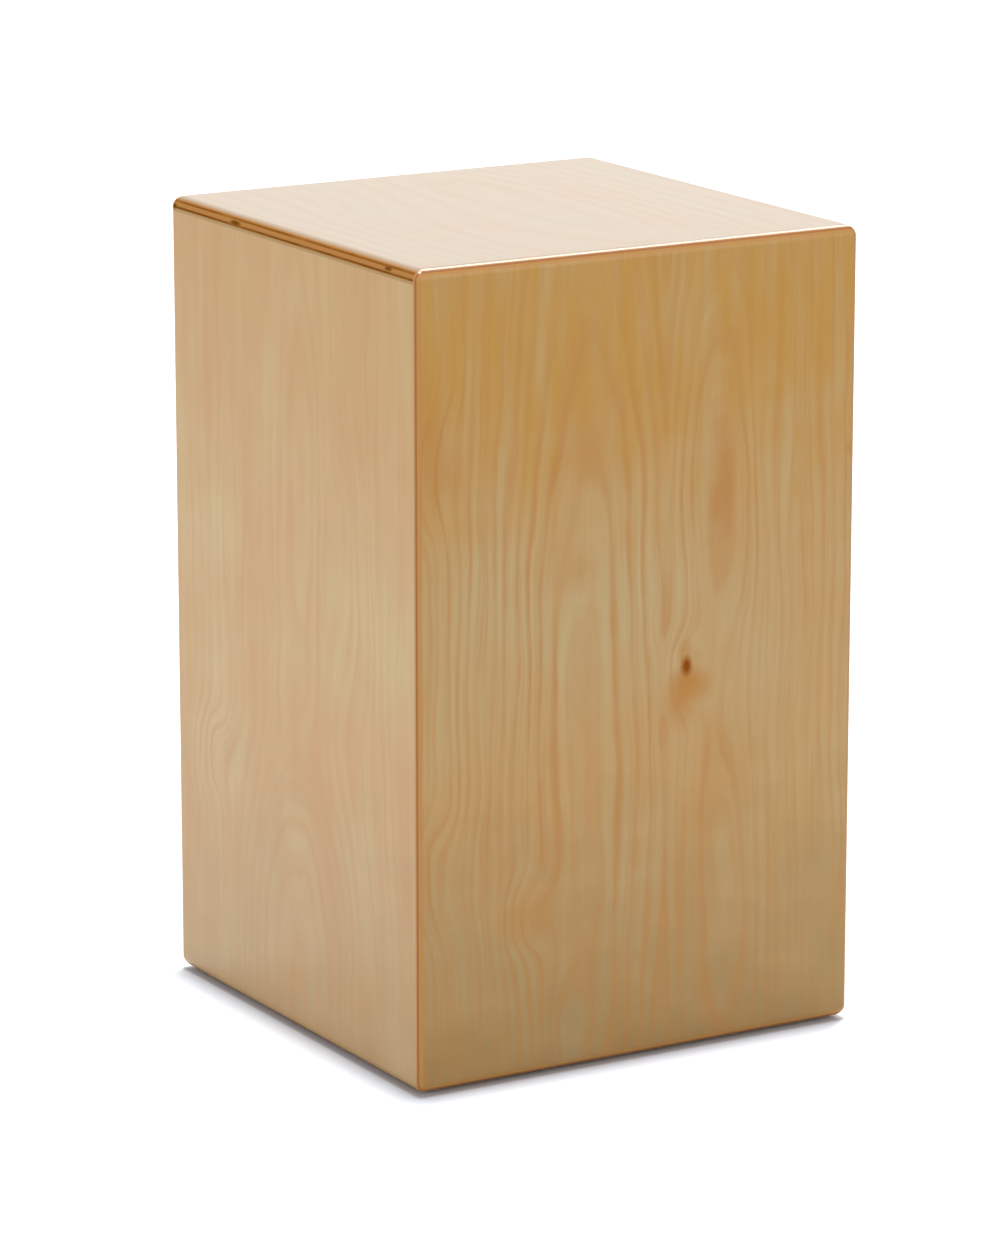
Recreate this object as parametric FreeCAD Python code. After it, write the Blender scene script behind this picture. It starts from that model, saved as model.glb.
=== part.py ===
"""Cajon: a birch plywood box drum with a tilting snare bar behind its playing face.

Sizes are in millimetres. X is the width, Y the depth with the playing face towards -Y, and Z is up.
The origin lies on the floor under the middle of the box.

The seat caps the sides and the back, and the base is let in between them. The playing face is a thin
three-ply sheet of the box's full height, glued over the front edges of the seat, the sides and the base and
to a frame of battens. The back panel sits between the sides and carries the sound hole. Once glued, the
outer edges are rounded over: wide round the top and the bottom, finer up the four corners.
Inside, a beech bar turns on two steel pins between the front posts. It holds two fans of coiled
snare strands against the playing face, and tilts back onto two pegs to take them off it.
"""

import FreeCAD
import Part

import math
import os

Vector = FreeCAD.Vector

# Box
BODY_WIDTH = 300.0
BODY_DEPTH = 300.0
OVERALL_HEIGHT = 490.0  # floor to seat
EDGE_RADIUS = 6.5  # round-over along the top and the bottom
CORNER_RADIUS = 3.5  # round-over of the four upright edges

# Plywood
SEAT_THICKNESS = 9.0
BASE_THICKNESS = 9.0
SIDE_THICKNESS = 9.0
BACK_THICKNESS = 6.0
FRONT_THICKNESS = 4.0  # the playing face

# Sound hole, in the back panel
SOUND_HOLE_DIAMETER = 110.0
SOUND_HOLE_HEIGHT = 275.0  # its centre above the floor
SOUND_HOLE_CHAMFER = 2.5  # of the lip outside, where a hand goes in

# Battens, glued in the corners
POST_WIDTH = 20.0  # upright battens, across the box
FRONT_POST_DEPTH = 44.0
BACK_POST_DEPTH = 20.0
RAIL_DEPTH = 18.0  # level battens, front to back
RAIL_HEIGHT = 18.0
BATTEN_ARRIS = 2.0  # rounding of the one edge that faces the inside

# Feet, stuck under the base
FOOT_DIAMETER = 22.0
FOOT_HEIGHT = 2.0
FOOT_INSET = 28.0  # its centre from the two nearest outer faces

# Snare strands
STRANDS_PER_FAN = 10
STRAND_DIAMETER = 2.4
STRAND_SPACING = 5.5
STRAND_LENGTH = 118.0
STRAND_GAP = 0.3  # between the strands and the playing face
STRAND_TIP_GAP = 9.0  # from the strand tips to the rail above them
FAN_INSET = 53.0  # the middle of each fan from its end of the bar

# Snare plates, which the strands are soldered to
PLATE_WIDTH = 64.0
PLATE_HEIGHT = 16.0
PLATE_THICKNESS = 0.8
PLATE_CORNER_RADIUS = 2.0
PLATE_RISE = 8.0  # its lower edge above the bar's axis
SOLDER_LENGTH = 8.0  # how far each strand lies on its plate

# Plate screws
SCREWS_PER_PLATE = 2
SCREW_SPACING = 44.0
SCREW_HEAD_DIAMETER = 6.0  # on the plate
SCREW_HEAD_TOP_DIAMETER = 3.6
SCREW_HEAD_HEIGHT = 1.6
SCREW_DIAMETER = 3.0
SCREW_LENGTH = 12.0  # under the head, with its point
SCREW_POINT = 3.0
SCREW_HOLE_CLEARANCE = 0.2  # all round, in the plate

# Snare bar
BAR_DEPTH = 20.0  # its foot is a half round of this size about its axis
BAR_RISE = 26.0  # its top above its axis
BAR_ARRIS = 1.5
TILT_DEGREES = 30.0  # from the playing face back to the pegs

# Pivot pins and felt washers
PIN_DIAMETER = 6.0
PIN_IN_BAR = 14.0
PIN_IN_POST = 12.0
PIN_CLEARANCE = 0.05  # all round, in the post
PIN_END_GAP = 0.5
WASHER_DIAMETER = 18.0
WASHER_THICKNESS = 1.5
WASHER_GAP = 0.2  # between a washer and its post
WASHER_BORE_CLEARANCE = 0.2

# Stop pegs
PEG_DIAMETER = 6.0
PEG_IN_POST = 10.0
PEG_REACH = 12.0  # how far it stands out of its post
PEG_CONTACT = 20.0  # where it meets the bar's back, above the bar's axis
PEG_GAP = 0.3  # left between the tilted bar and the peg

# Faces and levels that several pieces share
SEAT_TOP = OVERALL_HEIGHT
SEAT_UNDERSIDE = SEAT_TOP - SEAT_THICKNESS
BASE_UNDERSIDE = FOOT_HEIGHT
BASE_TOP = BASE_UNDERSIDE + BASE_THICKNESS
OUTER_X = BODY_WIDTH / 2
INNER_X = OUTER_X - SIDE_THICKNESS
POST_X = INNER_X - POST_WIDTH
FRONT_Y = -BODY_DEPTH / 2
FRONT_INNER_Y = FRONT_Y + FRONT_THICKNESS
BACK_Y = BODY_DEPTH / 2
BACK_INNER_Y = BACK_Y - BACK_THICKNESS

# The snare unit is laid out from the playing face and from the rail above it
STRAND_Y = FRONT_INNER_Y + STRAND_GAP + STRAND_DIAMETER / 2
PLATE_Y = STRAND_Y + STRAND_DIAMETER / 2
BAR_FACE_Y = PLATE_Y + PLATE_THICKNESS
AXIS_Y = BAR_FACE_Y + BAR_DEPTH / 2
STRAND_RISE = PLATE_RISE + PLATE_HEIGHT - SOLDER_LENGTH
AXIS_Z = SEAT_UNDERSIDE - RAIL_HEIGHT - STRAND_TIP_GAP - STRAND_LENGTH - STRAND_RISE
BAR_END_X = POST_X - WASHER_GAP - WASHER_THICKNESS
FAN_X = BAR_END_X - FAN_INSET
SCREW_Z = AXIS_Z + (PLATE_RISE + STRAND_RISE) / 2  # midway up the part of the plate left bare

SIDES = {"left": -1, "right": 1}
ENDS = {"front": -1, "back": 1}


def block(low, high):
    """A box between two opposite corners, given in any order."""
    corner = Vector(*map(min, low, high))
    size = Vector(*map(max, low, high)) - corner
    return Part.makeBox(size.x, size.y, size.z, corner)


def round_bar(start, direction, diameter, length):
    return Part.makeCylinder(diameter / 2, length, Vector(*start), Vector(*direction))


def edges_along(shape, direction, through):
    """The straight edges that run in one direction and pass through a point, in the plane across it."""
    found = []
    for edge in shape.Edges:
        first, last = edge.Vertexes[0].Point, edge.Vertexes[-1].Point
        run = (last - first).normalize()
        across = (Vector(*through) - first).projectToPlane(Vector(), Vector(*direction))
        if abs(run.dot(Vector(*direction))) > 0.999 and across.Length < 1e-6:
            found.append(edge)
    return found


def circles_at(shape, y):
    """The full circles that lie in a plane across Y."""
    return [
        edge for edge in shape.Edges
        if isinstance(edge.Curve, Part.Circle) and edge.isClosed() and abs(edge.Curve.Center.y - y) < 1e-6
    ]


def edges_at_height(shape, z):
    return [edge for edge in shape.Edges if abs(edge.BoundBox.ZMin - z) + abs(edge.BoundBox.ZMax - z) < 1e-6]


def rounded_box():
    """The outside of the glued box, with its edges rounded over. Each panel is a slice of it."""
    box = block((-OUTER_X, FRONT_Y, BASE_UNDERSIDE), (OUTER_X, BACK_Y, SEAT_TOP))
    corners = [
        edge for x in (-OUTER_X, OUTER_X) for y in (FRONT_Y, BACK_Y)
        for edge in edges_along(box, (0, 0, 1), (x, y, 0))
    ]
    box = box.makeFillet(CORNER_RADIUS, corners)
    rims = edges_at_height(box, BASE_UNDERSIDE) + edges_at_height(box, SEAT_TOP)
    return box.makeFillet(EDGE_RADIUS, rims)


def panels():
    """The six plywood panels."""
    outside = rounded_box()

    def panel(low, high):
        return block(low, high).common(outside)

    made = {
        "seat_panel": panel((-OUTER_X, FRONT_INNER_Y, SEAT_UNDERSIDE), (OUTER_X, BACK_Y, SEAT_TOP)),
        "base_panel": panel((-INNER_X, FRONT_INNER_Y, BASE_UNDERSIDE), (INNER_X, BACK_INNER_Y, BASE_TOP)),
        "front_plate": panel((-OUTER_X, FRONT_Y, BASE_UNDERSIDE), (OUTER_X, FRONT_INNER_Y, SEAT_TOP)),
        "back_panel": sound_hole_cut(
            panel((-INNER_X, BACK_INNER_Y, BASE_UNDERSIDE), (INNER_X, BACK_Y, SEAT_UNDERSIDE))
        ),
    }
    for side, sign in SIDES.items():
        made[f"{side}_side_panel"] = panel(
            (sign * INNER_X, FRONT_INNER_Y, BASE_UNDERSIDE), (sign * OUTER_X, BACK_Y, SEAT_UNDERSIDE)
        )
    return made


def sound_hole_cut(panel):
    """The back panel with its round sound hole, whose outer lip is chamfered."""
    hole = round_bar(
        (0, BACK_INNER_Y, SOUND_HOLE_HEIGHT), (0, 1, 0), SOUND_HOLE_DIAMETER, BACK_THICKNESS
    )
    holed = panel.cut(hole)
    return holed.makeChamfer(SOUND_HOLE_CHAMFER, circles_at(holed, BACK_Y))


def battens():
    """Four upright posts in the corners, and four level rails between them."""
    made = {}
    depths = {"front": FRONT_POST_DEPTH, "back": BACK_POST_DEPTH}
    walls = {"front": FRONT_INNER_Y, "back": BACK_INNER_Y}
    levels = {"top": (SEAT_UNDERSIDE, -1), "bottom": (BASE_TOP, 1)}
    for end, end_sign in ENDS.items():
        wall, post_y = walls[end], walls[end] - end_sign * depths[end]
        for side, sign in SIDES.items():
            post = block((sign * INNER_X, wall, BASE_TOP), (sign * POST_X, post_y, SEAT_UNDERSIDE))
            inside = edges_along(post, (0, 0, 1), (sign * POST_X, post_y, 0))
            made[f"{end}_{side}_post"] = post.makeFillet(BATTEN_ARRIS, inside)
        rail_y = wall - end_sign * RAIL_DEPTH
        for level, (seat_z, way) in levels.items():
            rail_z = seat_z + way * RAIL_HEIGHT
            rail = block((-POST_X, wall, seat_z), (POST_X, rail_y, rail_z))
            inside = edges_along(rail, (1, 0, 0), (0, rail_y, rail_z))
            made[f"{end}_{level}_rail"] = rail.makeFillet(BATTEN_ARRIS, inside)
    for side, sign in SIDES.items():
        bores = [pin_bore(sign), stop_peg(sign, PEG_IN_POST, 0)]
        made[f"front_{side}_post"] = made[f"front_{side}_post"].cut(bores)
    return made


def feet():
    """One flat rubber pad near each corner of the base."""
    made = {}
    for end, end_sign in ENDS.items():
        for side, sign in SIDES.items():
            centre = (sign * (OUTER_X - FOOT_INSET), end_sign * (BACK_Y - FOOT_INSET), 0)
            made[f"{end}_{side}_foot"] = round_bar(centre, (0, 0, 1), FOOT_DIAMETER, FOOT_HEIGHT)
    return made


def pin_bore(sign):
    """The blind bore in a front post that a pivot pin turns in."""
    return round_bar(
        (sign * POST_X, AXIS_Y, AXIS_Z),
        (sign, 0, 0),
        PIN_DIAMETER + 2 * PIN_CLEARANCE,
        PIN_IN_POST + PIN_END_GAP,
    )


def stop_peg(sign, in_post, reach):
    """A peg in a front post, placed so that the tilted bar's back comes to lie along it."""
    tilt = math.radians(TILT_DEGREES)
    off_axis = BAR_DEPTH / 2 + PEG_GAP + PEG_DIAMETER / 2
    peg_y = AXIS_Y + off_axis * math.cos(tilt) + PEG_CONTACT * math.sin(tilt)
    peg_z = AXIS_Z - off_axis * math.sin(tilt) + PEG_CONTACT * math.cos(tilt)
    start_x = sign * (POST_X - reach)
    return round_bar((start_x, peg_y, peg_z), (sign, 0, 0), PEG_DIAMETER, in_post + reach)


def bar_section():
    """The bar's outline across its axis: a half-round foot below upright sides, with an eased top."""
    half, top = BAR_DEPTH / 2, BAR_RISE

    def at(y, z):
        return Vector(-BAR_END_X, AXIS_Y + y, AXIS_Z + z)

    outline = [
        Part.LineSegment(at(-half, 0), at(-half, top)),
        Part.LineSegment(at(-half, top), at(half, top)),
        Part.LineSegment(at(half, top), at(half, 0)),
        Part.Arc(at(half, 0), at(0, -half), at(-half, 0)),
    ]
    return Part.Face(Part.Wire([curve.toShape() for curve in outline]))


def snare_bar():
    """The beech bar, bored at each end for a pivot pin and drilled for the plate screws."""
    bar = bar_section().extrude(Vector(2 * BAR_END_X, 0, 0))
    top_z = AXIS_Z + BAR_RISE
    arrises = [
        edge
        for y in (AXIS_Y - BAR_DEPTH / 2, AXIS_Y + BAR_DEPTH / 2)
        for edge in edges_along(bar, (1, 0, 0), (0, y, top_z))
    ]
    bar = bar.makeFillet(BAR_ARRIS, arrises)
    bores = [
        round_bar((sign * BAR_END_X, AXIS_Y, AXIS_Z), (-sign, 0, 0), PIN_DIAMETER, PIN_IN_BAR)
        for sign in SIDES.values()
    ]
    return bar.cut(bores + [turned([(0, 0), *shank_outline()], x) for x in screw_places()])


def pivot_pins():
    """Steel pins, pressed into the bar and free to turn in the posts."""
    made = {}
    length = PIN_IN_BAR + WASHER_THICKNESS + WASHER_GAP + PIN_IN_POST
    for side, sign in SIDES.items():
        start = (sign * (BAR_END_X - PIN_IN_BAR), AXIS_Y, AXIS_Z)
        made[f"{side}_pivot_pin"] = round_bar(start, (sign, 0, 0), PIN_DIAMETER, length)
    return made


def washers():
    """Felt washers round the pins, which keep the bar from rattling and hold its tilt by friction."""
    made = {}
    bore = PIN_DIAMETER + 2 * WASHER_BORE_CLEARANCE
    for side, sign in SIDES.items():
        face = (sign * BAR_END_X, AXIS_Y, AXIS_Z)
        disc = round_bar(face, (sign, 0, 0), WASHER_DIAMETER, WASHER_THICKNESS)
        made[f"{side}_felt_washer"] = disc.cut(round_bar(face, (sign, 0, 0), bore, WASHER_THICKNESS))
    return made


def pegs():
    return {f"{side}_stop_peg": stop_peg(sign, PEG_IN_POST, PEG_REACH) for side, sign in SIDES.items()}


def screw_places():
    """The X of every plate screw."""
    offsets = [SCREW_SPACING * (n - (SCREWS_PER_PLATE - 1) / 2) for n in range(SCREWS_PER_PLATE)]
    return [sign * FAN_X + offset for sign in SIDES.values() for offset in offsets]


def turned(outline, x):
    """The solid that an outline of radii and depths behind the plate's front makes about a screw's axis."""
    points = [Vector(x + radius, PLATE_Y + depth, SCREW_Z) for radius, depth in outline]
    face = Part.Face(Part.makePolygon(points + points[:1]))
    return face.revolve(Vector(x, PLATE_Y, SCREW_Z), Vector(0, 1, 0), 360)


def shank_outline():
    """A screw's shank, from the plate's front into the bar, ending in a point."""
    radius = SCREW_DIAMETER / 2
    return [(radius, 0), (radius, SCREW_LENGTH - SCREW_POINT), (0, SCREW_LENGTH)]


def screw(x):
    """A wood screw whose head stands on the front of a snare plate."""
    head = [
        (0, -SCREW_HEAD_HEIGHT),
        (SCREW_HEAD_TOP_DIAMETER / 2, -SCREW_HEAD_HEIGHT),
        (SCREW_HEAD_DIAMETER / 2, 0),
    ]
    return turned(head + shank_outline(), x)


def snare_plate(sign):
    """A sheet steel plate on the front of the bar, with a hole for each screw."""
    middle = sign * FAN_X
    low_z = AXIS_Z + PLATE_RISE
    low = (middle - PLATE_WIDTH / 2, PLATE_Y, low_z)
    high = (middle + PLATE_WIDTH / 2, BAR_FACE_Y, low_z + PLATE_HEIGHT)
    sheet = block(low, high)
    corners = [
        edge for x in (low[0], high[0]) for z in (low[2], high[2])
        for edge in edges_along(sheet, (0, 1, 0), (x, 0, z))
    ]
    sheet = sheet.makeFillet(PLATE_CORNER_RADIUS, corners)
    hole = SCREW_DIAMETER + 2 * SCREW_HOLE_CLEARANCE
    holes = [
        round_bar((x, PLATE_Y, SCREW_Z), (0, 1, 0), hole, PLATE_THICKNESS)
        for x in screw_places()
        if x * sign > 0
    ]
    return sheet.cut(holes)


def snare_fan(sign):
    """The parallel strands of one fan. Each is the outer cylinder of a tight coil."""
    first_x = sign * FAN_X - STRAND_SPACING * (STRANDS_PER_FAN - 1) / 2
    return Part.makeCompound(
        [
            round_bar(
                (first_x + n * STRAND_SPACING, STRAND_Y, AXIS_Z + STRAND_RISE),
                (0, 0, 1),
                STRAND_DIAMETER,
                STRAND_LENGTH,
            )
            for n in range(STRANDS_PER_FAN)
        ]
    )


def snares():
    """The two snare fans with their plates and screws."""
    made = {"snare_plate_screws": Part.makeCompound([screw(x) for x in screw_places()])}
    for side, sign in SIDES.items():
        made[f"{side}_snare_plate"] = snare_plate(sign)
        made[f"{side}_snare_strands"] = snare_fan(sign)
    return made


def cajon():
    """Every piece of the cajon, by name."""
    return {
        **panels(),
        **battens(),
        **feet(),
        "snare_bar": snare_bar(),
        **pivot_pins(),
        **washers(),
        **pegs(),
        **snares(),
    }


os.makedirs("parts", exist_ok=True)
for name, shape in cajon().items():
    shape.exportStep(os.path.join("parts", f"{name}.step"))
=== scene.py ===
"""The looks of the cajon: lacquered birch plywood outside, bare battens and the snare unit inside.

Lengths are in metres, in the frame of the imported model: X across the width, Y from the playing face to
the back, Z up. Colours are screen values, from 0 to 255.
"""

import math

import bpy
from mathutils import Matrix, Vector


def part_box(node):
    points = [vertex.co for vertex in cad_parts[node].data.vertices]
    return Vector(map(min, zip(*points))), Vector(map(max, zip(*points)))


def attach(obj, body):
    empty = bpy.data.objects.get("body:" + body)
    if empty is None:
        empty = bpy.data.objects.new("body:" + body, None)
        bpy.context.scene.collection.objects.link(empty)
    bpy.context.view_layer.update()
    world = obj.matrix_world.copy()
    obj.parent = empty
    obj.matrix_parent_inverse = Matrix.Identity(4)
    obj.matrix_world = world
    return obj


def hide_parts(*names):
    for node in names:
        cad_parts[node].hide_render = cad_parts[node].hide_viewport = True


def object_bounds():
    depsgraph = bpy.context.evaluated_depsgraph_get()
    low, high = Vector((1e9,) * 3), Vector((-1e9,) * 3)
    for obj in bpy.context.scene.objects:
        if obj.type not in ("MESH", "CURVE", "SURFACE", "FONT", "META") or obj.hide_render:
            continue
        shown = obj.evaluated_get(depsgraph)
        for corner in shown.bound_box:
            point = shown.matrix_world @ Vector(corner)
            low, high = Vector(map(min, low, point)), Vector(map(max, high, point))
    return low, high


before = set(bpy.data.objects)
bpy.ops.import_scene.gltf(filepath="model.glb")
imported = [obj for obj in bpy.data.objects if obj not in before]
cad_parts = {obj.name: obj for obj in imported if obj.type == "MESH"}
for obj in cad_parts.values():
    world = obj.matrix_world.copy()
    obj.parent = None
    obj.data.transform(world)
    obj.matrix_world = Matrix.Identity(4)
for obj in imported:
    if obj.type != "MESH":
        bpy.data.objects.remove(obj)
CAD_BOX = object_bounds()

MM = 0.001

# Where the panels lie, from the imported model, each as its lowest and highest corner
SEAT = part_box("seat_panel")
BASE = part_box("base_panel")
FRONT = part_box("front_plate")
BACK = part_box("back_panel")
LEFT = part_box("left_side_panel")
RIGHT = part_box("right_side_panel")
HEIGHT = SEAT[1][2]
CORNER_RADIUS = 3.5 * MM  # rounding of the upright edges
RIM_RADIUS = 6.5 * MM  # rounding of the edges round the top
X, Y, Z = range(3)

# The camera looks a little left of the middle, from in front of the left-hand uprights
CAMERA_AIM = Vector((-0.006, 0.001, 0.235))
CAMERA_AZIMUTH = -30.63  # degrees round from straight in front
CAMERA_ELEVATION = 13.82
CAMERA_DISTANCE = 3.433
CAMERA_LENS = 162.7  # millimetres, on a 36 mm sensor

# Light: an even sky, a large lamp almost straight above, and softboxes for the near faces and the seat
SKY_LEVEL = 0.36
OVERHEAD_LEVEL = 3.0
OVERHEAD_SPREAD = 3.5  # degrees across
OVERHEAD_LEAN = 0.015  # towards the back and the right, as a share of its height
# Each softbox faces the middle of the box: its place, width and height in metres, and its power in watts
SOFTBOXES = {
    "back_softbox": ((2.6, 4.4, 1.9), 4.5, 2.6, 27),
    "rim_softbox": ((2.0, 1.3, 3.3), 1.0, 2.6, 70),
    "left_softbox": ((-4.2, -0.6, 1.5), 4.2, 2.8, 44),
    "front_softbox": ((0.8, -4.4, 1.5), 4.2, 2.8, 32),
}
FLOOR_SIZE = 60.0
FLOOR_WHITES = ((235, 241, 251), (238, 243, 252))

# Wood colours, each the ground, its warmer clouds, the late-wood line of each ring and the dark fibres
GOLDEN_BIRCH = ((182, 155, 106), (184, 143, 85), (174, 114, 42), (160, 126, 74))
PALE_BIRCH = ((187, 157, 97), (186, 137, 73), (180, 123, 48), (174, 136, 76))
SEAT_BIRCH = ((166, 147, 120), (170, 142, 112), (164, 130, 92), (156, 134, 106))
SOFTWOOD = ((196, 162, 112), (198, 150, 98), (160, 104, 52), (174, 134, 82))
BEECH = ((186, 142, 102), (178, 128, 88), (156, 106, 66), (138, 88, 50))
# Painted shade: the upright panels turn deeper golden towards the top, where the studio's reflection is
# weaker, and darker towards their foot, where less light falls
TOP_SHADE_BIRCH = (182, 134, 52)  # towards the top of the upright panels
FOOT_SHADE_BIRCH = (140, 108, 50)  # towards their foot
EDGE_BIRCH = (170, 112, 48)  # sawn edges of the five-ply panels
CROSS_BROWN = (104, 56, 0)  # their cross plies
INNER_BIRCH = (176, 142, 88)  # their last ply
FACE_EDGE = (178, 124, 58)  # sawn and rounded edges of the playing face
FACE_CORE = (144, 80, 10)  # its cross ply
KNOT_BROWN = (138, 72, 2)
STAIN_ORANGE = (174, 116, 38)

# Colours of the small parts
PIN_STEEL = (188, 186, 182)
PLATE_STEEL = (196, 190, 176)
SCREW_STEEL = (178, 172, 160)
STRAND_STEEL = (198, 198, 200)
WORN_STEEL = (120, 116, 110)
FELT_DARK, FELT_LIGHT, FELT_CLUMP = (58, 56, 54), (116, 112, 106), (40, 38, 38)
RUBBER, RUBBER_DUST = (34, 33, 32), (92, 88, 82)

# The figure of each board. A hill is its place across and along the board, its half width and half
# length, all in millimetres, and how many growth rings it rises through.
FRONT_HILLS = [
    (-36, 180, 80, 272, 3.2),
    (54, 350, 24, 105, 1.9),
    (33, 233, 15, 24, 1.6),
    (-150, 372, 24, 40, 1.6),
    (-150, 130, 40, 36, 1.6),
    (-76, 100, 16, 22, 1.4),
    (-47, 10, 14, 40, 1.6),
    (62, 90, 30, 110, 1.2),
]
SIDE_HILLS = [
    (-8, 20, 85, 130, 4.5),
    (-16, 330, 26, 120, 2.2),
    (-70, 300, 22, 80, 1.6),
    (105, 150, 26, 26, 1.8),
    (0, 215, 34, 24, 0.5),
]
SEAT_HILLS = [(30, 20, 60, 180, 3.0), (-70, -60, 40, 120, 2.0)]
BACK_HILLS = [(20, 120, 50, 190, 4.0), (-60, 380, 40, 150, 3.0), (90, 300, 26, 60, 1.6)]
# A crown is where the board cuts its log nearest the heart: its place across, its half width and the
# spacing of the rings beside it, in millimetres.
FRONT_CROWNS = [(-36, 40, 8.5), (62, 30, 8.5)]
SIDE_CROWNS = [(0, 40, 13)]
SEAT_CROWNS = [(0, 60, 16)]
BACK_CROWNS = [(20, 30, 9)]

# Dark gaps in the plies along the seat's left edge: place along it, depth below the top, half length and
# half height, in millimetres
SEAT_VOIDS = [(67, 5, 6, 1.4), (-117, 4, 4, 1.2), (146, 6, 4, 1.6)]
VOID_REACH = 4 * MM  # how far a gap goes in from the edge

# Soft stains: place across, height, half width, half height, in millimetres, and strength
FRONT_STAINS = [
    (32, 229, 3, 8, 0.9),
    (35, 227, 9, 6, 1.0),
    (27, 217, 7, 11, 0.85),
    (40, 221, 6, 6, 0.4),
    (32, 246, 3, 5, 0.6),
    (-41, 304, 7, 9, 0.45),
    (-143, 392, 9, 22, 0.5),
    (-130, 370, 10, 12, 0.35),
    (-76, 102, 10, 12, 0.4),
    (-90, 96, 6, 8, 0.35),
    (-38, 376, 8, 12, 0.35),
    (147, 356, 3, 3, 0.7),
]
FRONT_KNOT = ((32.3, 237), (3.2, 5.2))  # its centre across and up, and its half width and half height

# Plies, and over what share of two plies one gives way to the next
WALL_PLIES, WALL_PLY_BLUR = 5, 0.17
FACE_PLIES, FACE_PLY_BLUR = 3, 0.05

# Strength of each mark of the wood at a contrast of 1, and how fully an edge colour covers it
LATE_WOOD, INNER_RINGS, STREAKS, DARK_FIBRES = 0.8, 0.05, 0.42, 0.20
EDGE_COVER, INNER_COVER, CORE_COVER = 0.85, 0.8, 0.9

# Gloss of the lacquer: on the playing face, its top rim and its knot, on the seat and on the walls
FACE_GLOSS, RIM_GLOSS, KNOT_GLOSS = 0.2, 0.8, 0.02
SEAT_GLOSS, WALL_GLOSS = 0.5, 0.3

# The snare strands are close coils
STRANDS_PER_FAN = 10
WIRE_DIAMETER = 0.5 * MM
COIL_PITCH = 1.25 * MM
STEPS_PER_TURN = 8
WIRE_SIDES = 4


def linear(colour):
    """A screen colour as the light values that a shader takes."""

    def channel(value):
        value /= 255
        return value / 12.92 if value <= 0.04045 else ((value + 0.055) / 1.055) ** 2.4

    return (*map(channel, colour), 1.0)


class Graph:
    """A material's node graph. Its methods take sockets or plain numbers, and return sockets."""

    def __init__(self, name):
        self.material = bpy.data.materials.new(name)
        self.material.use_nodes = True
        self.nodes = self.material.node_tree.nodes
        self.nodes.clear()
        self.shader = self.nodes.new("ShaderNodeBsdfPrincipled")
        output = self.nodes.new("ShaderNodeOutputMaterial")
        self.feed(output.inputs["Surface"], self.shader.outputs["BSDF"])
        self.place = self.nodes.new("ShaderNodeTexCoord").outputs["Object"]
        self.axes = self.split(self.place)

    def feed(self, socket, value):
        if isinstance(value, bpy.types.NodeSocket):
            self.material.node_tree.links.new(value, socket)
        else:
            socket.default_value = value

    def set(self, **values):
        """Sets the shader's own sockets, named with an underscore for each space."""
        for name, value in values.items():
            self.feed(self.shader.inputs[name.replace("_", " ")], value)

    def split(self, vector):
        node = self.nodes.new("ShaderNodeSeparateXYZ")
        self.feed(node.inputs[0], vector)
        return node.outputs

    def join(self, *parts):
        node = self.nodes.new("ShaderNodeCombineXYZ")
        for socket, value in zip(node.inputs, parts):
            self.feed(socket, value)
        return node.outputs[0]

    def math(self, operation, *values):
        node = self.nodes.new("ShaderNodeMath")
        node.operation = operation
        for socket, value in zip(node.inputs, values):
            self.feed(socket, value)
        return node.outputs[0]

    def add(self, *values):
        total = values[0]
        for value in values[1:]:
            total = self.math("ADD", total, value)
        return total

    def times(self, *values):
        product = values[0]
        for value in values[1:]:
            product = self.math("MULTIPLY", product, value)
        return product

    def along(self, axis, start, toward=1):
        """How far a point lies from start along an axis, counted up it or, with toward -1, down it."""
        return self.math("MULTIPLY_ADD", self.axes[axis], toward, -toward * start)

    def noise(self, place, detail=2.0, roughness=0.5):
        """Noise from about 0 to 1, with one feature to each unit of place."""
        node = self.nodes.new("ShaderNodeTexNoise")
        self.feed(node.inputs["Vector"], place)
        self.feed(node.inputs["Scale"], 1.0)
        self.feed(node.inputs["Detail"], detail)
        self.feed(node.inputs["Roughness"], roughness)
        return node.outputs[0]

    def speckle(self, size, detail=2.0, roughness=0.5):
        """Noise with features of one size in every direction."""
        place = self.join(*(self.times(axis, 1 / size) for axis in self.axes))
        return self.noise(place, detail, roughness)

    def ramp(self, value, *stops):
        """Straight runs between stops of (position, height)."""
        node = self.nodes.new("ShaderNodeValToRGB")
        points = node.color_ramp.elements
        while len(points) < len(stops):
            points.new(1.0)
        for point, (position, height) in zip(points, stops):
            point.position = position
            point.color = (height, height, height, 1.0)
        self.feed(node.inputs[0], value)
        return node.outputs[0]

    def mix(self, factor, a, b):
        node = self.nodes.new("ShaderNodeMix")
        node.data_type = "RGBA"
        for socket, value in zip((node.inputs[0], node.inputs[6], node.inputs[7]), (factor, a, b)):
            self.feed(socket, value)
        return node.outputs[2]

    def bump(self, height, distance, strength=1.0):
        node = self.nodes.new("ShaderNodeBump")
        self.feed(node.inputs["Height"], height)
        self.feed(node.inputs["Distance"], distance)
        self.feed(node.inputs["Strength"], strength)
        return node.outputs[0]


class Board:
    """The coordinates of one board: across and along its grain, and depth below its outer face."""

    def __init__(self, graph, across, along, depth, shift=0.0):
        self.graph = graph
        self.across = across
        self.along = along
        self.depth = depth
        self.shift = shift

    def noise(self, width, length, detail=2.0, roughness=0.5, layer=0.0):
        """Noise with features of a width across the grain and a length along it. Each layer differs."""
        graph = self.graph
        place = graph.join(
            graph.math("MULTIPLY_ADD", self.across, 1 / width, self.shift + layer),
            graph.times(self.along, 1 / length),
            graph.times(self.depth, 1 / width),
        )
        return graph.noise(place, detail, roughness)


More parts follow.
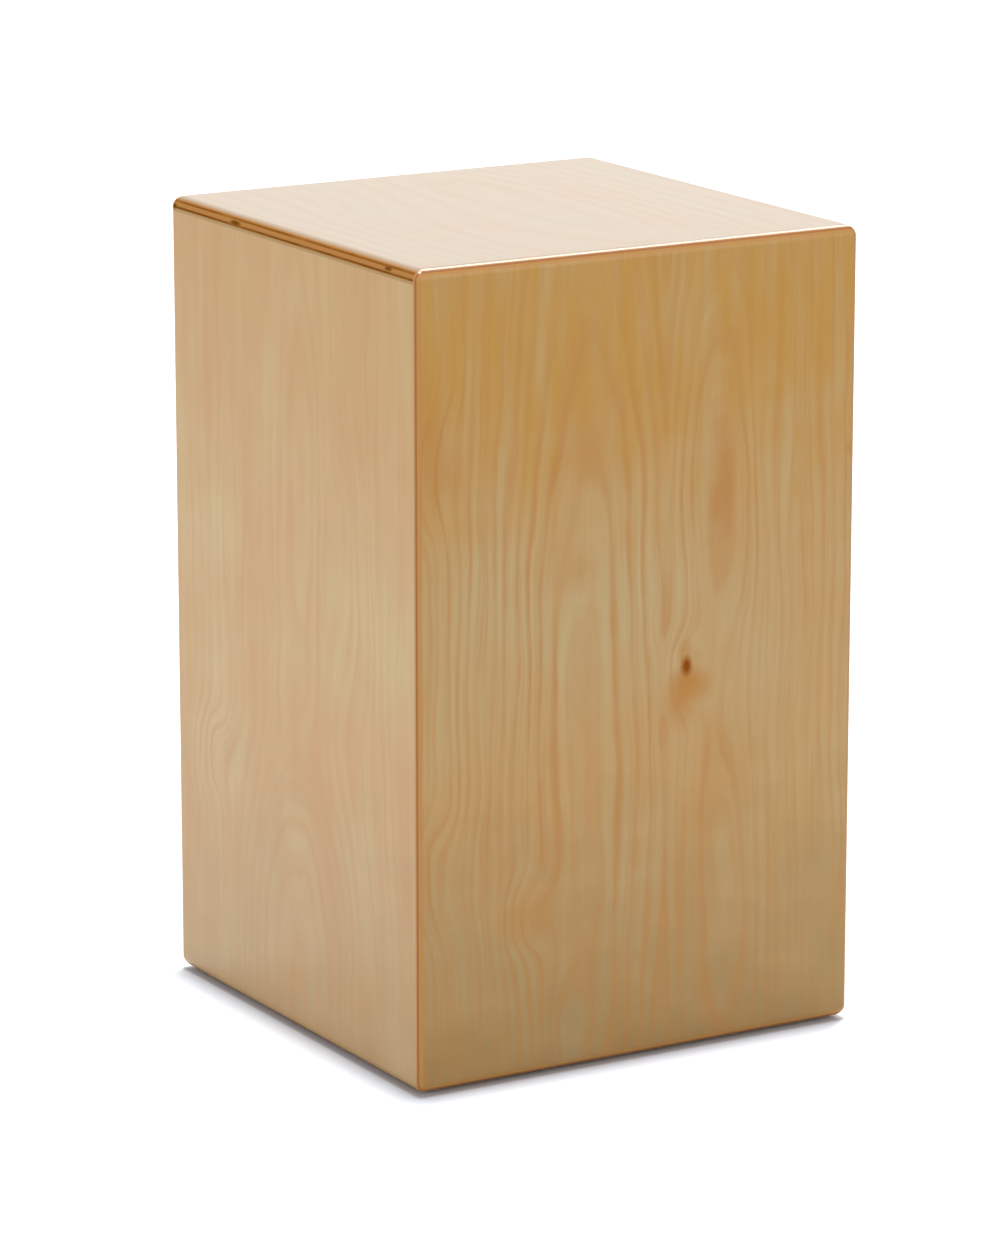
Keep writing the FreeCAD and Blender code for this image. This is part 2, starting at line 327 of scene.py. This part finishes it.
def wandering(board):
    """The coordinate across a board, drifting by up to 5.5 mm and wavering by 1.5 mm along it."""
    graph = board.graph
    drift = graph.math("MULTIPLY_ADD", board.noise(30 * MM, 110 * MM, 1.0, layer=7.1), 11 * MM, -5.5 * MM)
    waver = graph.math("MULTIPLY_ADD", board.noise(14 * MM, 50 * MM, layer=15.9), 3 * MM, -1.5 * MM)
    return graph.add(board.across, drift, waver)


def ring_count(board, hills, crowns):
    """How many growth rings deep the blade cut at each place, and from 0 to 1 how near a hill is."""
    graph = board.graph
    across = wandering(board)
    parts = [graph.times(board.noise(22 * MM, 140 * MM, 3.0), 0.9)]
    figure = None  # the rings close round each hill in arches
    for place_across, place_along, half_width, half_length, rings in hills:
        du = graph.math("MULTIPLY_ADD", across, 1 / (half_width * MM), -place_across / half_width)
        dv = graph.math("MULTIPLY_ADD", board.along, 1 / (half_length * MM), -place_along / half_length)
        square = graph.math("MULTIPLY_ADD", du, du, graph.math("POWER", graph.math("ABSOLUTE", dv), 3.0))
        hill = graph.math("EXPONENT", graph.times(square, -1.0))
        figure = hill if figure is None else graph.math("MAXIMUM", figure, hill)
        parts.append(graph.times(hill, rings))
    slope = None  # and fall away evenly on both sides of each crown
    for place_across, half_width, spacing in crowns:
        du = graph.add(across, -place_across * MM)
        reach = graph.math("SQRT", graph.math("MULTIPLY_ADD", du, du, (half_width * MM) ** 2))
        fall = graph.math("MULTIPLY_ADD", reach, -1 / (spacing * MM), half_width / spacing)
        slope = fall if slope is None else graph.math("SMOOTH_MAX", slope, fall, 1.0)
    return graph.add(slope, *parts), figure


def veneer(board, tones, rings, figure=1.0, contrast=1.0, painted_shade=0.0):
    """The colour of planed wood, and the height of its fibres for gloss and bump. The rings show most near
    a hill, and the share of painted shade is how far the two ends of an upright panel turn darker: deeper
    golden at the top and darker at the foot."""
    graph = board.graph
    ground, warm, late, fibre_tone = map(linear, tones)

    # Streaks follow the rings, and fibres and clouds follow the grain
    ring_place = graph.math("MULTIPLY_ADD", rings, 2.4, board.shift)
    streak = graph.noise(graph.join(ring_place, graph.times(board.along, 1 / (220 * MM))), 3.0, 0.55)
    fibre = board.noise(2 * MM, 90 * MM, 4.0, 0.6)
    cloud = board.noise(45 * MM, 110 * MM, layer=11.7)
    warmth = graph.add(graph.times(cloud, 0.75), graph.times(streak, 0.25))
    colour = graph.mix(graph.ramp(warmth, (0.34, 0.0), (0.66, 1.0)), ground, warm)
    # Painted shade: deeper golden towards the top and darker towards the foot, for how the studio light
    # falls on the upright panels
    if painted_shade:
        colour = shade_by_height(board, colour, TOP_SHADE_BIRCH, 370 * MM, 480 * MM, painted_shade, 0.55)
        colour = shade_by_height(board, colour, FOOT_SHADE_BIRCH, 250 * MM, 0.0, painted_shade, 0.1)

    # Each ring ends in a line of late wood, bold in some patches and faint in others
    phase = graph.math("FRACT", graph.add(rings, 40.0))
    line = graph.ramp(phase, (0.0, 0.2), (0.15, 0.0), (0.4, 0.0), (0.74, 0.7), (0.86, 1.0), (1.0, 0.2))
    patch = graph.ramp(board.noise(28 * MM, 70 * MM, layer=23.1), (0.35, 0.35), (0.6, 1.0))
    strength = graph.times(patch, graph.math("MULTIPLY_ADD", figure, 0.8, 0.2))
    colour = graph.mix(graph.times(line, strength, LATE_WOOD * contrast), colour, late)

    # Fainter lines lie within the rings
    inner = graph.math("FRACT", graph.math("MULTIPLY_ADD", rings, 2.7, 110.3))
    inner_line = graph.ramp(inner, (0.0, 0.3), (0.25, 0.0), (0.5, 0.0), (0.8, 1.0), (1.0, 0.3))
    colour = graph.mix(graph.times(inner_line, INNER_RINGS * contrast), colour, late)

    dark_streak = graph.ramp(streak, (0.47, 0.0), (0.72, 1.0))
    colour = graph.mix(graph.times(dark_streak, STREAKS * contrast), colour, late)
    dark_fibre = graph.ramp(fibre, (0.40, 0.0), (0.75, 1.0))
    colour = graph.mix(graph.times(dark_fibre, DARK_FIBRES * contrast), colour, fibre_tone)
    return colour, graph.math("MULTIPLY_ADD", fibre, 0.7, graph.times(line, 0.3))


def cross_plies(board, thickness, plies, blur):
    """1 in every second ply counted from the outer face, and 0 in the others."""
    graph = board.graph
    nearly = 0.99  # keeps the inner face in the last ply
    pair = graph.math("FRACT", graph.times(board.depth, nearly * plies / thickness / 2))
    return graph.ramp(pair, (0.5, 0.0), (0.5 + blur, 1.0), (1.0 - blur, 1.0), (1.0, 0.0))


def wall_cross_plies(board, thickness):
    """The cross plies of a wall at its sawn edges, darker in some places than in others."""
    uneven = board.graph.ramp(board.noise(2.5 * MM, 22 * MM, layer=2.2), (0.32, 0.6), (0.6, 1.0))
    return board.graph.times(cross_plies(board, thickness, WALL_PLIES, WALL_PLY_BLUR), uneven)


def end_grain(graph, colour, mask, tone):
    """Cut wood ends where mask is 1: dark, with pores a fraction of a millimetre across."""
    shade = graph.math("MULTIPLY_ADD", graph.speckle(0.5 * MM), -0.4, 1.1)
    return graph.mix(graph.times(mask, shade), colour, linear(tone))


def spot(graph, centre, radii, soft=0.4):
    """1 inside an ellipsoid about a point and 0 outside it, with a soft edge."""
    squares = []
    for axis, middle, radius in zip(graph.axes, centre, radii):
        reach = graph.math("MULTIPLY_ADD", axis, 1 / radius, -middle / radius)
        squares.append(graph.times(reach, reach))
    distance = graph.math("SQRT", graph.add(*squares))
    return graph.ramp(graph.times(distance, 0.5), (0.5 - soft / 2, 1.0), (0.5 + soft / 2, 0.0))


def stained(graph, colour, tone, depth_axis, depth, stains):
    """Adds soft stains to a face, each at (place across, height, half width, half height, strength)."""
    for across, height, half_width, half_height, strength in stains:
        centre, radii = [across * MM, height * MM], [half_width * MM, half_height * MM]
        centre.insert(depth_axis, depth)
        radii.insert(depth_axis, half_width * MM)
        mask = graph.times(spot(graph, centre, radii, 1.0), strength)
        colour = graph.mix(mask, colour, linear(tone))
    return colour


def lacquered(graph, colour, fibres, gloss):
    """Satin lacquer: the wood's own soft gloss under a smoother skin that follows its fibres."""
    graph.set(
        Base_Color=colour,
        Roughness=graph.math("MULTIPLY_ADD", fibres, 0.12, 0.30),
        Specular_IOR_Level=gloss,
        Coat_Weight=gloss,
        Coat_Roughness=0.14,
        Normal=graph.bump(fibres, 0.04 * MM, 0.6),
    )
    return graph.material


def side_strength(graph, strong_axis, weak):
    """1 where the surface faces along strong_axis, falling to weak where it faces across it."""
    facing = graph.split(graph.nodes.new("ShaderNodeNewGeometry").outputs["True Normal"])[strong_axis]
    return graph.math("MULTIPLY_ADD", graph.math("ABSOLUTE", facing), 1 - weak, weak)


def shade_by_height(board, colour, tone, start, end, strength, streaks):
    """Painted shade: turns a panel towards a darker tone by height, fully at the height end and not at all
    at start. Streaks, from 0 to 1, is how far the shade is broken up."""
    graph = board.graph
    height = graph.math("MULTIPLY_ADD", board.noise(50 * MM, 30 * MM), 140 * MM, graph.axes[Z])
    way = graph.math("MULTIPLY_ADD", height, 1 / (end - start), -start / (end - start))
    broken = graph.ramp(board.noise(14 * MM, 120 * MM, layer=31.0), (0.35, 1.0 - streaks), (0.62, 1.0))
    mask = graph.times(graph.ramp(way, (0.0, 0.0), (1.0, 1.0)), broken, strength)
    return graph.mix(mask, colour, linear(tone))


def front_knot(graph):
    """1 inside the knot of the playing face, and 0 outside it."""
    (across, height), (half_width, half_height) = FRONT_KNOT
    radii = (half_width * MM, half_width * MM, half_height * MM)
    return spot(graph, (across * MM, FRONT[0][Y], height * MM), radii, 0.5)


def front_edge(board, thickness):
    """1 where the playing face is rounded or sawn, and 0 on the flat of its two faces."""
    graph = board.graph
    flat = FRONT[1][X] / CORNER_RADIUS - 1  # where the rounding starts, counted in its radius
    from_flat = graph.math("MULTIPLY_ADD", graph.math("ABSOLUTE", board.across), 1 / CORNER_RADIUS, -flat)
    corner = graph.ramp(from_flat, (0.0, 0.0), (0.3, 1.0))
    share = graph.times(board.depth, 1 / thickness)
    sawn = graph.ramp(share, (0.04, 0.0), (0.16, 1.0), (0.96, 1.0), (0.99, 0.0))
    return graph.math("MAXIMUM", corner, sawn)


def front_birch():
    graph = Graph("front_birch")
    board = Board(graph, graph.along(X, 0), graph.along(Z, 0), graph.along(Y, FRONT[0][Y]))
    rings, figure = ring_count(board, FRONT_HILLS, FRONT_CROWNS)
    colour, fibres = veneer(board, GOLDEN_BIRCH, rings, figure, painted_shade=1.0)
    colour = stained(graph, colour, STAIN_ORANGE, Y, FRONT[0][Y], FRONT_STAINS)
    knot = front_knot(graph)
    colour = graph.mix(knot, colour, linear(KNOT_BROWN))
    thickness = FRONT[1][Y] - FRONT[0][Y]
    colour = graph.mix(graph.times(front_edge(board, thickness), EDGE_COVER), colour, linear(FACE_EDGE))
    core = graph.times(cross_plies(board, thickness, FACE_PLIES, FACE_PLY_BLUR), CORE_COVER)
    colour = end_grain(graph, colour, core, FACE_CORE)
    # The lacquer lies thick over the top rim and thin on the knot
    rim = graph.ramp(graph.times(graph.along(Z, HEIGHT, -1), 1 / RIM_RADIUS), (0.6, 1.0), (1.0, 0.0))
    gloss = graph.math("MULTIPLY_ADD", knot, KNOT_GLOSS - FACE_GLOSS, FACE_GLOSS)
    gloss = graph.math("MULTIPLY_ADD", rim, RIM_GLOSS - FACE_GLOSS, gloss)
    return lacquered(graph, colour, fibres, gloss)


def panel_birch(
    name, board_axes, tones, hills, crowns, thickness, contrast,
    gloss=WALL_GLOSS, strong_axis=None, shift=0.0, painted_shade=0.0, voids=(),
):
    """Five-ply birch of a wall, the seat or the base.

    board_axes gives its grain coordinates, each as (axis, start, toward). Its plies show best on the
    edges that face along strong_axis, or alike on all. voids are gaps in them, each a centre and radii.
    """
    graph = Graph(name)
    board = Board(graph, *(graph.along(*axis) for axis in board_axes), shift=shift)
    rings, figure = ring_count(board, hills, crowns)
    colour, fibres = veneer(board, tones, rings, figure, contrast, painted_shade)
    # Each ply is a fifth of the thickness: the first is the face, and the last is paler than those between
    share = graph.times(board.depth, 1 / thickness)
    edge = graph.ramp(share, (0.1, 0.0), (0.2, 1.0), (0.8, 1.0), (0.86, 0.0))
    colour = graph.mix(graph.times(edge, EDGE_COVER), colour, linear(EDGE_BIRCH))
    last_ply = graph.ramp(share, (0.8, 0.0), (0.86, 1.0), (0.96, 1.0), (0.99, 0.0))
    colour = graph.mix(graph.times(last_ply, INNER_COVER), colour, linear(INNER_BIRCH))
    dark = wall_cross_plies(board, thickness)
    if strong_axis is not None:
        dark = graph.times(dark, side_strength(graph, strong_axis, weak=0.3))
    for void in voids:
        dark = graph.math("MAXIMUM", dark, spot(graph, *void))
    colour = end_grain(graph, colour, dark, CROSS_BROWN)
    # Sawn edges drink the lacquer, and the inside has none
    soaked = graph.ramp(share, (0.1, 0.0), (0.2, 1.0))
    return lacquered(graph, colour, fibres, graph.math("MULTIPLY_ADD", soaked, -gloss, gloss))


def seat_birch():
    axes = ((X, 0, 1), (Y, 0, 1), (Z, SEAT[1][Z], -1))
    thickness = SEAT[1][Z] - SEAT[0][Z]
    voids = []
    for place, depth, half_length, half_height in SEAT_VOIDS:
        centre = (SEAT[0][X], place * MM, SEAT[1][Z] - depth * MM)
        voids.append((centre, (VOID_REACH, half_length * MM, half_height * MM)))
    return panel_birch(
        "seat_birch", axes, SEAT_BIRCH, SEAT_HILLS, SEAT_CROWNS, thickness,
        contrast=0.18, gloss=SEAT_GLOSS, strong_axis=X, shift=5.2, voids=voids,
    )


def base_birch():
    axes = ((X, 0, 1), (Y, 0, 1), (Z, BASE[0][Z], 1))
    thickness = BASE[1][Z] - BASE[0][Z]
    return panel_birch(
        "base_birch", axes, PALE_BIRCH, SEAT_HILLS, SEAT_CROWNS, thickness,
        contrast=0.8, strong_axis=X, shift=9.4,
    )


def side_birch(name, box, axes, shift):
    thickness = box[1][X] - box[0][X]
    return panel_birch(
        name, axes, PALE_BIRCH, SIDE_HILLS, SIDE_CROWNS, thickness, contrast=0.65, shift=shift, painted_shade=0.6
    )


def left_birch():
    return side_birch("left_birch", LEFT, ((Y, 0, 1), (Z, 0, 1), (X, LEFT[0][X], 1)), 1.7)


def right_birch():
    """A sheet like the left one, turned upside down."""
    return side_birch("right_birch", RIGHT, ((Y, 0, -1), (Z, HEIGHT, -1), (X, RIGHT[1][X], -1)), 4.4)


def back_birch():
    axes = ((X, 0, -1), (Z, 0, 1), (Y, BACK[1][Y], -1))
    thickness = BACK[1][Y] - BACK[0][Y]
    return panel_birch(
        "back_birch", axes, PALE_BIRCH, BACK_HILLS, BACK_CROWNS, thickness, contrast=0.9, shift=6.8
    )


def batten_softwood(name, grain):
    """Planed, unfinished softwood with its grain along one axis."""
    graph = Graph(name)
    across, depth = (axis for axis in (X, Y, Z) if axis != grain)
    board = Board(graph, graph.along(across, 0), graph.along(grain, 0), graph.along(depth, 0), shift=8.8)
    drift = graph.times(board.noise(20 * MM, 250 * MM), 5.0)
    slant = graph.times(board.depth, 1 / (9 * MM))
    rings = graph.add(graph.times(board.across, 1 / (3.5 * MM)), slant, drift)
    colour, fibres = veneer(board, SOFTWOOD, rings, contrast=1.2)
    graph.set(
        Base_Color=colour,
        Roughness=graph.math("MULTIPLY_ADD", fibres, 0.2, 0.55),
        Normal=graph.bump(fibres, 0.12 * MM),
    )
    return graph.material


def turned_beech():
    """Oiled beech with its short dark flecks along X."""
    graph = Graph("turned_beech")
    board = Board(graph, graph.along(Z, 0), graph.along(X, 0), graph.along(Y, 0), shift=2.9)
    drift = graph.times(board.noise(12 * MM, 300 * MM), 4.0)
    rings = graph.add(drift, graph.times(board.across, 1 / (6 * MM)))
    colour, fibres = veneer(board, BEECH, rings, contrast=0.7)
    flecks = graph.ramp(board.noise(0.6 * MM, 4 * MM, 1.0, layer=5.0), (0.62, 0.0), (0.72, 1.0))
    colour = graph.mix(graph.times(flecks, 0.7), colour, linear(BEECH[3]))
    graph.set(
        Base_Color=colour,
        Roughness=graph.math("MULTIPLY_ADD", flecks, 0.15, 0.42),
        Normal=graph.bump(fibres, 0.05 * MM),
    )
    return graph.material


def steel(name, colour, roughness, brush_axis):
    """Plated steel, brushed along one axis, with duller patches."""
    graph = Graph(name)
    stretch = [1 / (0.2 * MM)] * 3
    stretch[brush_axis] = 1 / (12 * MM)
    place = graph.join(*(graph.times(axis, scale) for axis, scale in zip(graph.axes, stretch)))
    brushed = graph.noise(place, 3.0, 0.6)
    patches = graph.ramp(graph.speckle(9 * MM, 3.0), (0.45, 0.0), (0.75, 1.0))
    graph.set(
        Base_Color=graph.mix(graph.times(patches, 0.5), linear(colour), linear(WORN_STEEL)),
        Metallic=1.0,
        Roughness=graph.add(graph.times(brushed, 0.16), graph.times(patches, 0.15), roughness - 0.08),
        Normal=graph.bump(brushed, 0.01 * MM),
    )
    return graph.material


def washer_felt():
    """Pressed grey felt: a matt tangle of fibres with lighter ends."""
    graph = Graph("washer_felt")
    tangle = graph.speckle(0.7 * MM, 6.0, 0.7)
    clumps = graph.speckle(4 * MM)
    colour = graph.mix(graph.ramp(tangle, (0.35, 0.0), (0.7, 1.0)), linear(FELT_DARK), linear(FELT_LIGHT))
    graph.set(
        Base_Color=graph.mix(graph.times(clumps, 0.3), colour, linear(FELT_CLUMP)),
        Roughness=graph.math("MULTIPLY_ADD", tangle, 0.1, 0.85),
        Sheen_Weight=0.4,
        Sheen_Roughness=0.6,
        Normal=graph.bump(tangle, 0.25 * MM),
    )
    return graph.material


def foot_rubber():
    """Moulded dark rubber, dusted where it has stood."""
    graph = Graph("foot_rubber")
    grit = graph.speckle(0.6 * MM, 4.0, 0.6)
    dust = graph.speckle(6 * MM, 3.0)
    dusty = graph.ramp(dust, (0.4, 0.0), (0.8, 0.5))
    graph.set(
        Base_Color=graph.mix(dusty, linear(RUBBER), linear(RUBBER_DUST)),
        Roughness=graph.math("MULTIPLY_ADD", dust, 0.3, 0.55),
        Normal=graph.bump(grit, 0.08 * MM),
    )
    return graph.material


def dress(material, *nodes):
    """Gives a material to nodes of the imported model."""
    for name in nodes:
        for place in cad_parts[name].material_slots:
            place.material = material


def mesh_piece(name, points, faces, material):
    mesh = bpy.data.meshes.new(name)
    mesh.from_pydata(points, [], faces)
    mesh.materials.append(material)
    mesh.shade_smooth()
    piece = bpy.data.objects.new(name, mesh)
    bpy.context.collection.objects.link(piece)
    return piece


def coil(foot, height, radius):
    """Points and faces of one upright coil spring: a wire wound about the line up from foot."""
    turns = height / COIL_PITCH
    steps = round(turns * STEPS_PER_TURN)
    wire = WIRE_DIAMETER / 2
    mean = radius - wire
    points = []
    for step in range(steps + 1):
        angle = math.tau * turns * step / steps
        outward = Vector((math.cos(angle), math.sin(angle), 0))
        middle = foot + mean * outward + Vector((0, 0, wire + (height - 2 * wire) * step / steps))
        for side in range(WIRE_SIDES):
            tilt = math.tau * (side + 0.5) / WIRE_SIDES
            points.append(middle + wire * (math.cos(tilt) * outward + Vector((0, 0, math.sin(tilt)))))
    faces = []
    for step in range(steps):
        ring = step * WIRE_SIDES
        for side in range(WIRE_SIDES):
            after = (side + 1) % WIRE_SIDES
            faces.append((ring + side, ring + after, ring + WIRE_SIDES + after, ring + WIRE_SIDES + side))
    faces.append(tuple(reversed(range(WIRE_SIDES))))
    faces.append(tuple(range(steps * WIRE_SIDES, (steps + 1) * WIRE_SIDES)))
    return points, faces


def snare_coils(side, material):
    """The coiled strands of one snare fan, in the places of the model's plain rods."""
    node = f"{side}_snare_strands"
    low, high = map(Vector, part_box(node))
    radius = (high.y - low.y) / 2
    spacing = (high.x - low.x - 2 * radius) / (STRANDS_PER_FAN - 1)
    points, faces = [], []
    for strand in range(STRANDS_PER_FAN):
        foot = Vector((low.x + radius + strand * spacing, low.y + radius, low.z))
        new_points, new_faces = coil(foot, high.z - low.z, radius)
        faces += [tuple(len(points) + corner for corner in face) for face in new_faces]
        points += new_points
    piece = mesh_piece(f"{side}_snare_coils", points, faces, material)
    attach(piece, "snare_unit")
    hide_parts(node)


def studio_floor():
    """A plain pale floor that the whole picture falls on."""
    graph = Graph("studio_floor")
    cloud = graph.noise(graph.place, 3.0)
    graph.set(
        Base_Color=graph.mix(cloud, *map(linear, FLOOR_WHITES)),
        Roughness=0.9,
        Specular_IOR_Level=0.0,
    )
    half = FLOOR_SIZE / 2
    ground = CAD_BOX[0][Z]
    corners = [(x * half, y * half, ground) for x, y in ((-1, -1), (1, -1), (1, 1), (-1, 1))]
    mesh_piece("floor", corners, [(0, 1, 2, 3)], graph.material)


def aim(item, target):
    item.rotation_euler = (Vector(target) - item.location).to_track_quat("-Z", "Y").to_euler()


def lamp(name, kind, place, target, energy, **settings):
    """A lamp that lights the scene and doesn't show itself."""
    light = bpy.data.lights.new(name, kind)
    light.energy = energy
    for setting, value in settings.items():
        setattr(light, setting, value)
    item = bpy.data.objects.new(name, light)
    item.location = place
    aim(item, target)
    item.visible_camera = False
    bpy.context.collection.objects.link(item)


def studio_light():
    world = bpy.data.worlds.new("studio")
    world.use_nodes = True
    world.node_tree.nodes["Background"].inputs["Color"].default_value = (1, 1, 1, 1)
    world.node_tree.nodes["Background"].inputs["Strength"].default_value = SKY_LEVEL
    bpy.context.scene.world = world
    overhead_place = (OVERHEAD_LEAN, OVERHEAD_LEAN, 1)
    spread = math.radians(OVERHEAD_SPREAD)
    lamp("overhead", "SUN", overhead_place, (0, 0, 0), OVERHEAD_LEVEL, angle=spread)
    for name, (place, width, height, power) in SOFTBOXES.items():
        lamp(name, "AREA", place, (0, 0, HEIGHT / 2), power, shape="RECTANGLE", size=width, size_y=height)
    bpy.context.scene.view_settings.view_transform = "Standard"


def camera():
    azimuth, elevation = math.radians(CAMERA_AZIMUTH), math.radians(CAMERA_ELEVATION)
    away = Vector((
        math.sin(azimuth) * math.cos(elevation),
        -math.cos(azimuth) * math.cos(elevation),
        math.sin(elevation),
    ))
    item = bpy.data.objects.new("camera", bpy.data.cameras.new("camera"))
    item.data.lens = CAMERA_LENS
    item.location = CAMERA_AIM + CAMERA_DISTANCE * away
    aim(item, CAMERA_AIM)
    bpy.context.collection.objects.link(item)
    bpy.context.scene.camera = item


def cajon_looks():
    dress(front_birch(), "front_plate")
    dress(seat_birch(), "seat_panel")
    dress(base_birch(), "base_panel")
    dress(left_birch(), "left_side_panel")
    dress(right_birch(), "right_side_panel")
    dress(back_birch(), "back_panel")
    corners = [f"{end}_{side}" for end in ("front", "back") for side in ("left", "right")]
    dress(batten_softwood("post_softwood", Z), *(f"{corner}_post" for corner in corners))
    rails = (f"{end}_{level}_rail" for end in ("front", "back") for level in ("top", "bottom"))
    dress(batten_softwood("rail_softwood", X), *rails)
    dress(foot_rubber(), *(f"{corner}_foot" for corner in corners))
    dress(turned_beech(), "snare_bar", "left_stop_peg", "right_stop_peg")
    dress(steel("pin_steel", PIN_STEEL, 0.30, X), "left_pivot_pin", "right_pivot_pin")
    dress(washer_felt(), "left_felt_washer", "right_felt_washer")
    dress(steel("plate_steel", PLATE_STEEL, 0.34, X), "left_snare_plate", "right_snare_plate")
    dress(steel("screw_steel", SCREW_STEEL, 0.28, X), "snare_plate_screws")
    strands = steel("strand_steel", STRAND_STEEL, 0.22, Z)
    for side in ("left", "right"):
        snare_coils(side, strands)


cajon_looks()
studio_floor()
studio_light()
camera()
